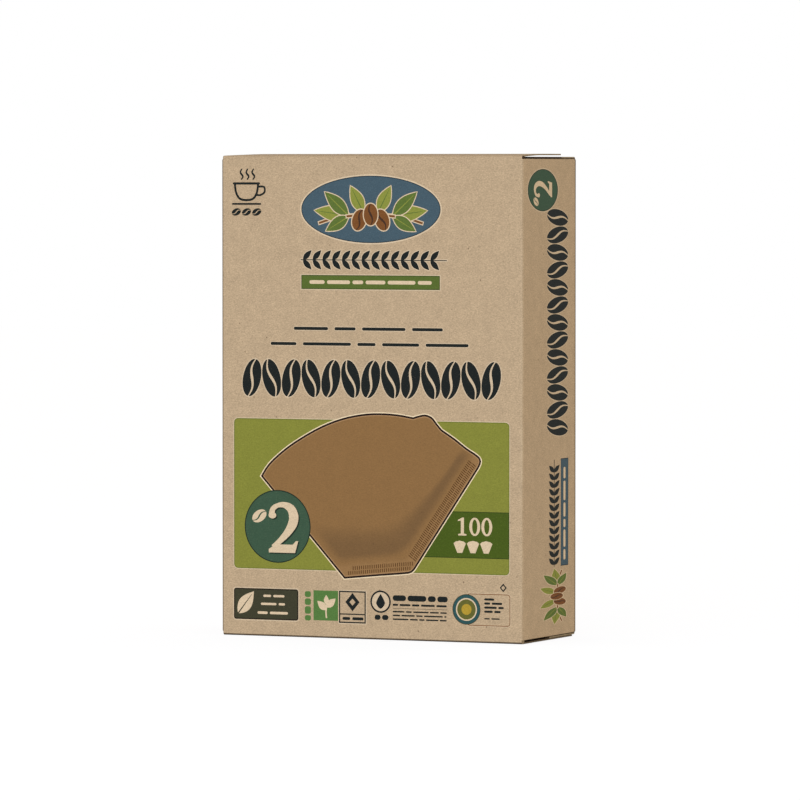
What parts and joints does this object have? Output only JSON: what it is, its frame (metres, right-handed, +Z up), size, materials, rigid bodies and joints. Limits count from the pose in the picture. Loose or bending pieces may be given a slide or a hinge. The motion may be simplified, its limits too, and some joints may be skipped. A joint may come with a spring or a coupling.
{
  "type": "closed paperboard carton of paper coffee filters",
  "caption": "Closed upright kraft paperboard carton with glued top and bottom flaps, full of folded paper cone filters.",
  "frame": {"origin": "centre of the carton's footprint, on the surface that it stands on", "axes": "+Z up along the front panel's height, +Y from the printed front panel to the back panel, +X along the width to the printed side panel"},
  "size_m": [0.122, 0.05, 0.1792],
  "materials": {
    "kraft_board": "matt uncoated kraft with fine fibres, printed in flat inks"
  },
  "bodies": {
    "root": {"carton": "kraft_board"}
  },
  "joints": []
}
